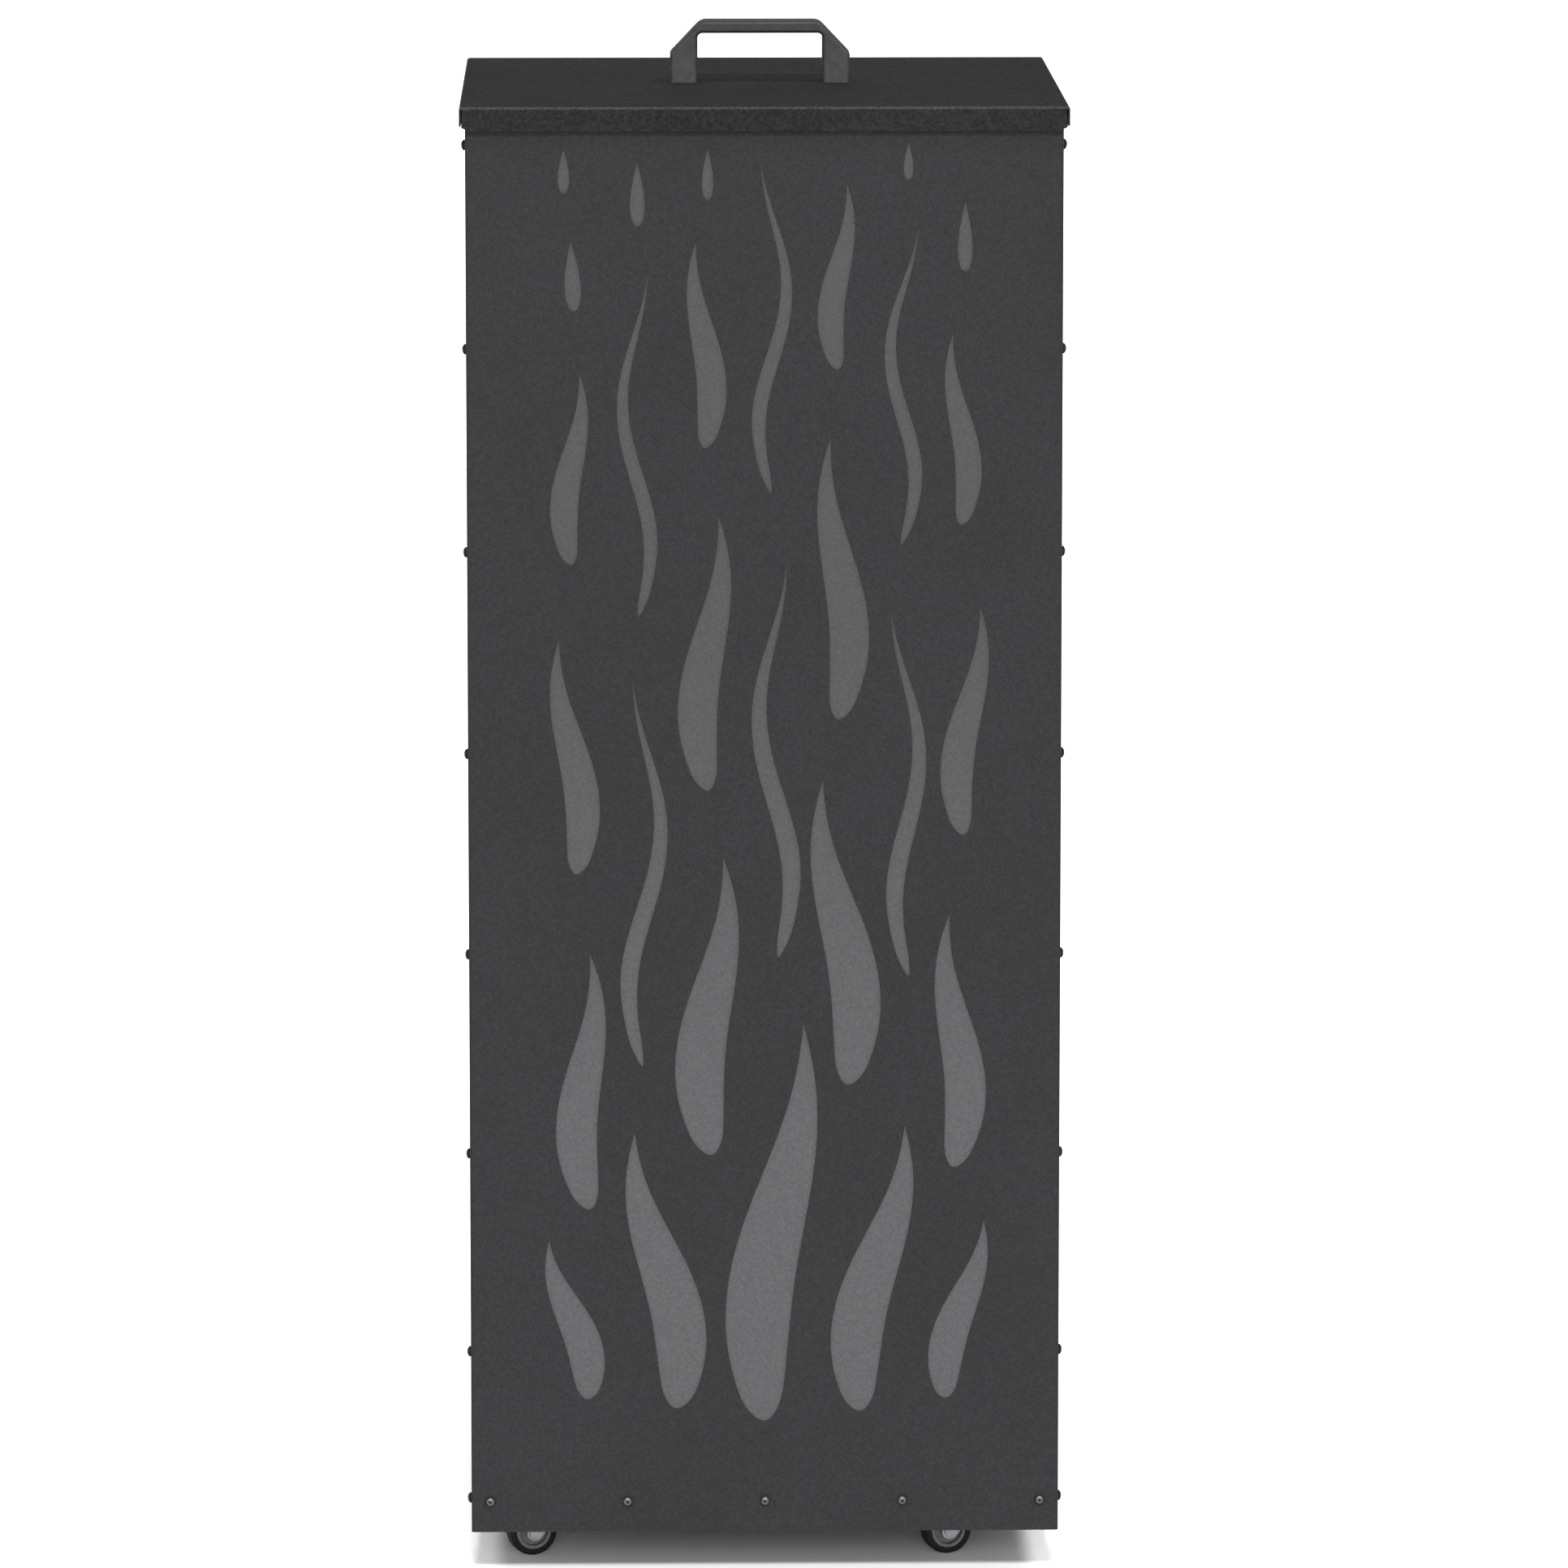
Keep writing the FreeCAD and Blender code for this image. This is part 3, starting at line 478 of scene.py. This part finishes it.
def cross_punch(reach, depth, top):
    """Tapered cross that presses the recess into a screw head."""
    arm = RECESS_ARM_SHARE * reach
    height = depth + PUNCH_OVERCUT
    bpy.ops.object.select_all(action="DESELECT")
    bpy.ops.mesh.primitive_cube_add(size=1, scale=(arm, arm, height), location=(0, 0, 0))
    punch = bpy.context.object
    bpy.ops.object.transform_apply(location=True, rotation=True, scale=True)
    bpy.ops.object.mode_set(mode="EDIT")
    select_faces(punch, lambda middle, normal: abs(normal.z) < LEVEL_SLOPE)
    bpy.ops.mesh.extrude_faces_move(TRANSFORM_OT_shrink_fatten={"value": reach - arm / 2})
    select_faces(punch, lambda middle, normal: normal.z < -LEVEL_SLOPE)
    bpy.ops.transform.resize(value=(RECESS_TAPER, RECESS_TAPER, 1), center_override=(0, 0, 0))
    bpy.ops.mesh.select_all(action="SELECT")
    bpy.ops.transform.translate(value=(0, 0, top - depth + height / 2))
    bpy.ops.object.mode_set(mode="OBJECT")
    return punch


def give_finish(screw, finish, shade, in_painted_shade):
    """Gives a screw its finish, and a darker one, a painted shade, to the faces that pass a test."""
    screw.data.materials.append(finish)
    screw.data.materials.append(shade)
    only_select(screw)
    bpy.ops.object.mode_set(mode="EDIT")
    select_faces(screw, in_painted_shade)
    screw.active_material_index = 1
    bpy.ops.object.material_slot_assign()
    bpy.ops.object.mode_set(mode="OBJECT")


def pan_head_screw(name, finish, shade, shank_radius, length, head_radius, head_height, pitch):
    """Screw with its head on z = 0, a ridged shank below and a cross recess."""
    core = shank_radius * (1 - THREAD_DEPTH_SHARE)
    profile = [(core * TIP_SHARE, -length), (core, -length + pitch)]
    turns = int((length - BARE_ENDS * pitch) / pitch)
    for turn in range(turns):
        foot = -length + (turn + 1) * pitch
        profile.append((shank_radius, foot + RIDGE_START * pitch))
        profile.append((shank_radius, foot + RIDGE_END * pitch))
        profile.append((core, foot + pitch))
    profile.append((core, -HEAD_STEP))
    profile.append((head_radius * HEAD_FOOT_SHARE, 0))
    profile.append((head_radius, HEAD_CHAMFER_SHARE * head_height))
    rim = HEAD_RIM_SHARE * head_height
    dome_height = head_height - rim
    dome_radius = (head_radius ** 2 + dome_height ** 2) / (2 * dome_height)
    reach = math.asin(head_radius / dome_radius)
    for step in range(DOME_STEPS + 1):
        angle = reach * (1 - step / (DOME_STEPS + 1))
        height = head_height - dome_radius * (1 - math.cos(angle))
        profile.append((dome_radius * math.sin(angle), height))
    screw = turned(name, profile)
    recess = RECESS_SHARE * head_radius
    cut(screw, cross_punch(recess, RECESS_DEPTH_SHARE * head_height, head_height))
    soften(screw, HEAD_EDGE_SHARE * head_radius)

    # faces of the recess and the rim that get the painted shade
    def in_painted_shade(middle, normal):
        radius = math.hypot(middle.x, middle.y)
        dome = head_height - dome_radius + math.sqrt(dome_radius ** 2 - radius ** 2)
        in_recess = radius < recess and middle.z < dome - PAINTED_SHADE_DEPTH_SHARE * head_height
        return middle.z > 0 and (in_recess or normal.z < RIM_SLOPE)

    give_finish(screw, finish, shade, in_painted_shade)
    return screw


def hexagon_nut(name):
    """Nut on z = 0 with a bore and chamfered corners."""
    reach = NUT_FLATS / 2 / math.cos(math.pi / 6)
    bpy.ops.object.select_all(action="DESELECT")
    bpy.ops.mesh.primitive_cylinder_add(vertices=6, radius=reach, depth=NUT_HEIGHT)
    nut = bpy.context.object
    nut.name = name
    bpy.ops.object.mode_set(mode="EDIT")
    bpy.ops.mesh.select_all(action="SELECT")
    bpy.ops.transform.translate(value=(0, 0, NUT_HEIGHT / 2))
    bpy.ops.object.mode_set(mode="OBJECT")
    face = NUT_FLATS / 2 * NUT_FACE_SHARE
    corner = reach * NUT_CORNER_SHARE
    barrel = [
        (face, 0),
        (corner, NUT_CHAMFER),
        (corner, NUT_HEIGHT - NUT_CHAMFER),
        (face, NUT_HEIGHT),
    ]
    cut(nut, turned("barrel", barrel), "INTERSECT")
    mouth = NUT_BORE * SINK_SHARE
    sink = SINK_DEPTH_SHARE * NUT_BORE
    bore = [
        (mouth, -BORE_OVERCUT),
        (mouth, 0),
        (NUT_BORE, sink),
        (NUT_BORE, NUT_HEIGHT - sink),
        (mouth, NUT_HEIGHT),
        (mouth, NUT_HEIGHT + BORE_OVERCUT),
    ]
    cut(nut, turned("bore", bore))
    soften(nut, NUT_EDGE)
    nut.data.materials.append(ZINC)
    return nut


def set_out(pattern, node, body, seats):
    """One copy of a fastener in each seat, as one piece that stands for a CAD node."""
    made = []
    for number, (place, way) in enumerate(seats):
        only_select(pattern)
        bpy.ops.object.duplicate(linked=False)
        fastener = bpy.context.object
        fastener.rotation_mode = "QUATERNION"
        turn = Quaternion(UP, FASTENER_TURN * number)
        fastener.rotation_quaternion = UP.rotation_difference(way) @ turn
        fastener.location = place
        made.append(fastener)
    bpy.ops.object.select_all(action="DESELECT")
    for fastener in made:
        fastener.select_set(True)
    piece = made[0]
    bpy.context.view_layer.objects.active = piece
    bpy.ops.object.join()
    bpy.ops.object.transform_apply(location=True, rotation=True, scale=True)
    piece.name = node + "_dressed"
    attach(piece, body)
    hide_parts(node)


def spread(first, last, count):
    """Evenly spaced places from first to last."""
    return [first + (last - first) * i / (count - 1) for i in range(count)]


ROW = spread(SCREW_INSET - SIDE_FACE, SIDE_FACE - SCREW_INSET, ROW_COUNT)
COLUMN = spread(COLUMN_FOOT, COLUMN_TOP, COLUMN_COUNT)


def end_seats(face, way):
    """Row along the lower edge of the front or the back."""
    return [(Vector((x, face, FLOOR_ROW_HEIGHT)), way) for x in ROW]


def side_seats(way):
    """Column on each return of a side and a row along its lower edge."""
    heights = COLUMN + [FLOOR_ROW_HEIGHT]
    seats = [(Vector((SIDE_FACE * way.x, y, z)), way) for y in (ROW[0], ROW[-1]) for z in heights]
    return seats + [(Vector((LAPPED_FACE * way.x, y, FLOOR_ROW_HEIGHT)), way) for y in ROW[1:-1]]


def plate_seats(height, way):
    """Corners of the four caster plates."""
    seats = []
    for pivot_x in (-CASTER_PIVOT_X, CASTER_PIVOT_X):
        for pivot_y in (-CASTER_PIVOT_Y, CASTER_PIVOT_Y):
            for x in (pivot_x - PLATE_HALF_PITCH, pivot_x + PLATE_HALF_PITCH):
                for y in (pivot_y - PLATE_HALF_PITCH, pivot_y + PLATE_HALF_PITCH):
                    seats.append((Vector((x, y, height)), way))
    return seats


body_screw = pan_head_screw("body_screw", SCREW_BLACK, SCREW_SHADE, *BODY_SCREW)
set_out(body_screw, "front_floor_screws", "bin", end_seats(-SIDE_FACE, FRONT))
set_out(body_screw, "back_floor_screws", "bin", end_seats(SIDE_FACE, BACK))
set_out(body_screw, "left_side_screws", "bin", side_seats(LEFT))
set_out(body_screw, "right_side_screws", "bin", side_seats(RIGHT))
caster_bolt = pan_head_screw("caster_bolt", ZINC, ZINC_SHADE, *CASTER_BOLT)
set_out(caster_bolt, "caster_bolts", "bin", plate_seats(TRAY_TOP, UP))
caster_nut = hexagon_nut("caster_nut")
set_out(caster_nut, "caster_nuts", "bin", plate_seats(NUT_FOOT, UP))
handle_screw = pan_head_screw("handle_screw", ZINC, ZINC_SHADE, *HANDLE_SCREW)
handle_seats = [(Vector((x, 0, WASHER_FOOT)), DOWN) for x in (-HANDLE_HALF_PITCH, HANDLE_HALF_PITCH)]
set_out(handle_screw, "handle_screws", "lid", handle_seats)
for pattern in (body_screw, caster_bolt, caster_nut, handle_screw):
    bpy.data.objects.remove(pattern)


# Studio

FLOOR_SIZE = 80.0
FLOOR_WHITE = 0.9
FLOOR_ROUGHNESS = 0.9
FILL_STRENGTH = 0.5
KEY_STRENGTH = 3.5
KEY_ANGLE = math.radians(10)
KEY_HEIGHT = math.radians(41)
LOW_STRENGTH = 1.9
LOW_ANGLE = math.radians(30)
LOW_HEIGHT = math.radians(13)
RIGHT_STRENGTH = 2.0
LEFT_STRENGTH = 1.0
SIDE_ANGLE = math.radians(20)
SIDE_HEIGHT = math.radians(58)
SIDE_TURN = math.radians(60)    # of the side lights, from straight in front

CAMERA_PLACE = (-0.0966, -6.0, 1.4036)
CAMERA_TILT = 0.1553            # down from level
CAMERA_PAN = 0.0186             # to the right
CAMERA_LENS = 222.96            # in millimetres, as the sensor
CAMERA_SENSOR = 36.0


def studio_floor():
    bpy.ops.object.select_all(action="DESELECT")
    bpy.ops.mesh.primitive_plane_add(size=FLOOR_SIZE)
    floor = bpy.context.object
    floor.name = "studio_floor"
    finish = new_finish("studio_white", grey(FLOOR_WHITE), FLOOR_ROUGHNESS, specular=0.0)
    floor.data.materials.append(finish)


def distant_light(name, strength, angle, height, turn=0.0):
    """Broad distant light, straight in front or turned towards the right."""
    bpy.ops.object.light_add(type="SUN")
    light = bpy.context.object
    light.name = name
    light.data.energy = strength
    light.data.angle = angle
    light.rotation_euler = (math.pi / 2 - height, 0, turn)


def studio_light():
    """A key light above, a broad low one that reaches under the bin, side lights and an even fill."""
    distant_light("key_light", KEY_STRENGTH, KEY_ANGLE, KEY_HEIGHT)
    distant_light("low_light", LOW_STRENGTH, LOW_ANGLE, LOW_HEIGHT)
    distant_light("right_light", RIGHT_STRENGTH, SIDE_ANGLE, SIDE_HEIGHT, SIDE_TURN)
    distant_light("left_light", LEFT_STRENGTH, SIDE_ANGLE, SIDE_HEIGHT, -SIDE_TURN)
    world = bpy.data.worlds.new("studio")
    world.use_nodes = True
    bpy.context.scene.world = world
    nodes = world.node_tree.nodes
    links = world.node_tree.links
    fill = nodes["Background"]
    fill.inputs["Strength"].default_value = FILL_STRENGTH
    fill.inputs["Color"].default_value = (*WHITE, 1)
    backdrop = nodes.new("ShaderNodeBackground")
    backdrop.inputs["Color"].default_value = (*WHITE, 1)
    mix = nodes.new("ShaderNodeMixShader")
    ray = nodes.new("ShaderNodeLightPath")
    links.new(ray.outputs["Is Camera Ray"], mix.inputs["Fac"])
    links.new(fill.outputs["Background"], mix.inputs[1])
    links.new(backdrop.outputs["Background"], mix.inputs[2])
    links.new(mix.outputs["Shader"], nodes["World Output"].inputs["Surface"])


def photo_camera():
    bpy.ops.object.camera_add(location=CAMERA_PLACE)
    camera = bpy.context.object
    camera.name = "photo_camera"
    camera.rotation_euler = (math.pi / 2 - CAMERA_TILT, 0, -CAMERA_PAN)
    camera.data.lens = CAMERA_LENS
    camera.data.sensor_width = CAMERA_SENSOR
    bpy.context.scene.camera = camera


studio_floor()
studio_light()
photo_camera()
bpy.context.scene.view_settings.view_transform = "Standard"
